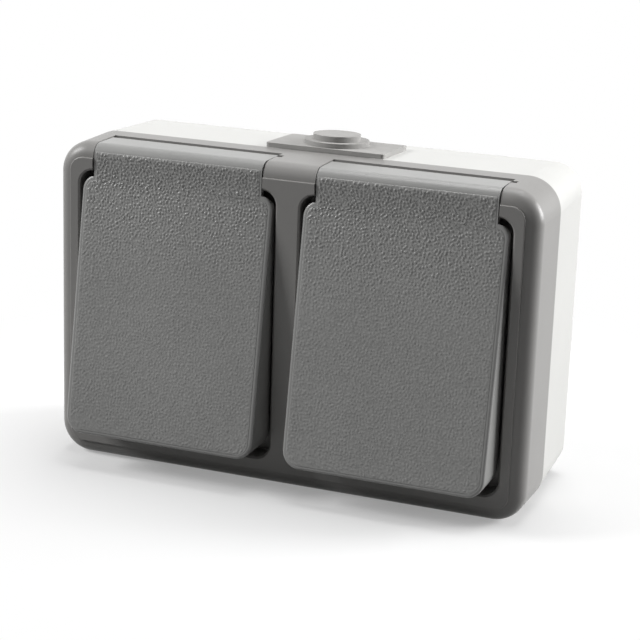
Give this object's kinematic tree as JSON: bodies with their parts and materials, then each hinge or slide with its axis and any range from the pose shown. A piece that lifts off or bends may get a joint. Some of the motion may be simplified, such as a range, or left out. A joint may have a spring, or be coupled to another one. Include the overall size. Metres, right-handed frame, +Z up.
{
  "type": "weatherproof double wall socket",
  "caption": "Surface-mounted outdoor wall socket: pale wall box, grey cover, round earthed plug wells under sprung grained lids, push-in cable gland on top.",
  "frame": {"origin": "centre of the back face, on the wall plane", "axes": "+X to the right seen from the front, +Y into the wall, +Z up"},
  "size_m": [0.1406, 0.0593, 0.0964],
  "materials": {
    "base_plastic": "pale grey, fine satin",
    "cover_plastic": "mid grey, satin",
    "lid_plastic": "mid grey, coarse moulded grain",
    "socket_plastic": "grey, smooth",
    "carrier_plastic": "pale, plain",
    "gland_rubber": "grey, matt",
    "seal_rubber": "black, matt",
    "brass": "stamped",
    "earth_steel": "plated strip",
    "screw_steel": "zinc plated",
    "pin_steel": "bright drawn"
  },
  "bodies": {
    "housing": {"base_box": "base_plastic", "front_cover": "cover_plastic", "cover_gasket": "seal_rubber", "cable_gland": "gland_rubber", "earth_link": "brass", "terminal_block": "carrier_plastic", "terminal_clamps": "brass", "terminal_screws": "screw_steel", "cover_screws": "screw_steel", "carrier_screws": "screw_steel", "centre_screws": "screw_steel", "live_bar": "brass", "neutral_bar": "brass", "hinge_pin_left": "pin_steel", "lid_spring_left": "pin_steel", "socket_face_left": "socket_plastic", "contact_carrier_left": "carrier_plastic", "earth_clip_left": "earth_steel", "hinge_pin_right": "pin_steel", "lid_spring_right": "pin_steel", "socket_face_right": "socket_plastic", "contact_carrier_right": "carrier_plastic", "earth_clip_right": "earth_steel"},
    "lid_left": {"lid_left": "lid_plastic", "lid_seal_left": "seal_rubber"},
    "lid_right": {"lid_right": "lid_plastic", "lid_seal_right": "seal_rubber"}
  },
  "joints": [
    {"name": "lid_left_hinge", "type": "hinge", "parent": "housing", "child": "lid_left", "pos_m": [-0.03325, -0.0379, 0.0429], "axis": [-1, 0, 0], "range_deg": [0, 90], "stiffness_Nm_per_rad": 0.02, "springref_deg": -45.84, "deforming": ["lid_spring_left"]},
    {"name": "lid_right_hinge", "type": "hinge", "parent": "housing", "child": "lid_right", "pos_m": [0.03325, -0.0379, 0.0429], "axis": [-1, 0, 0], "range_deg": [0, 90], "stiffness_Nm_per_rad": 0.02, "springref_deg": -45.84, "deforming": ["lid_spring_right"]}
  ]
}
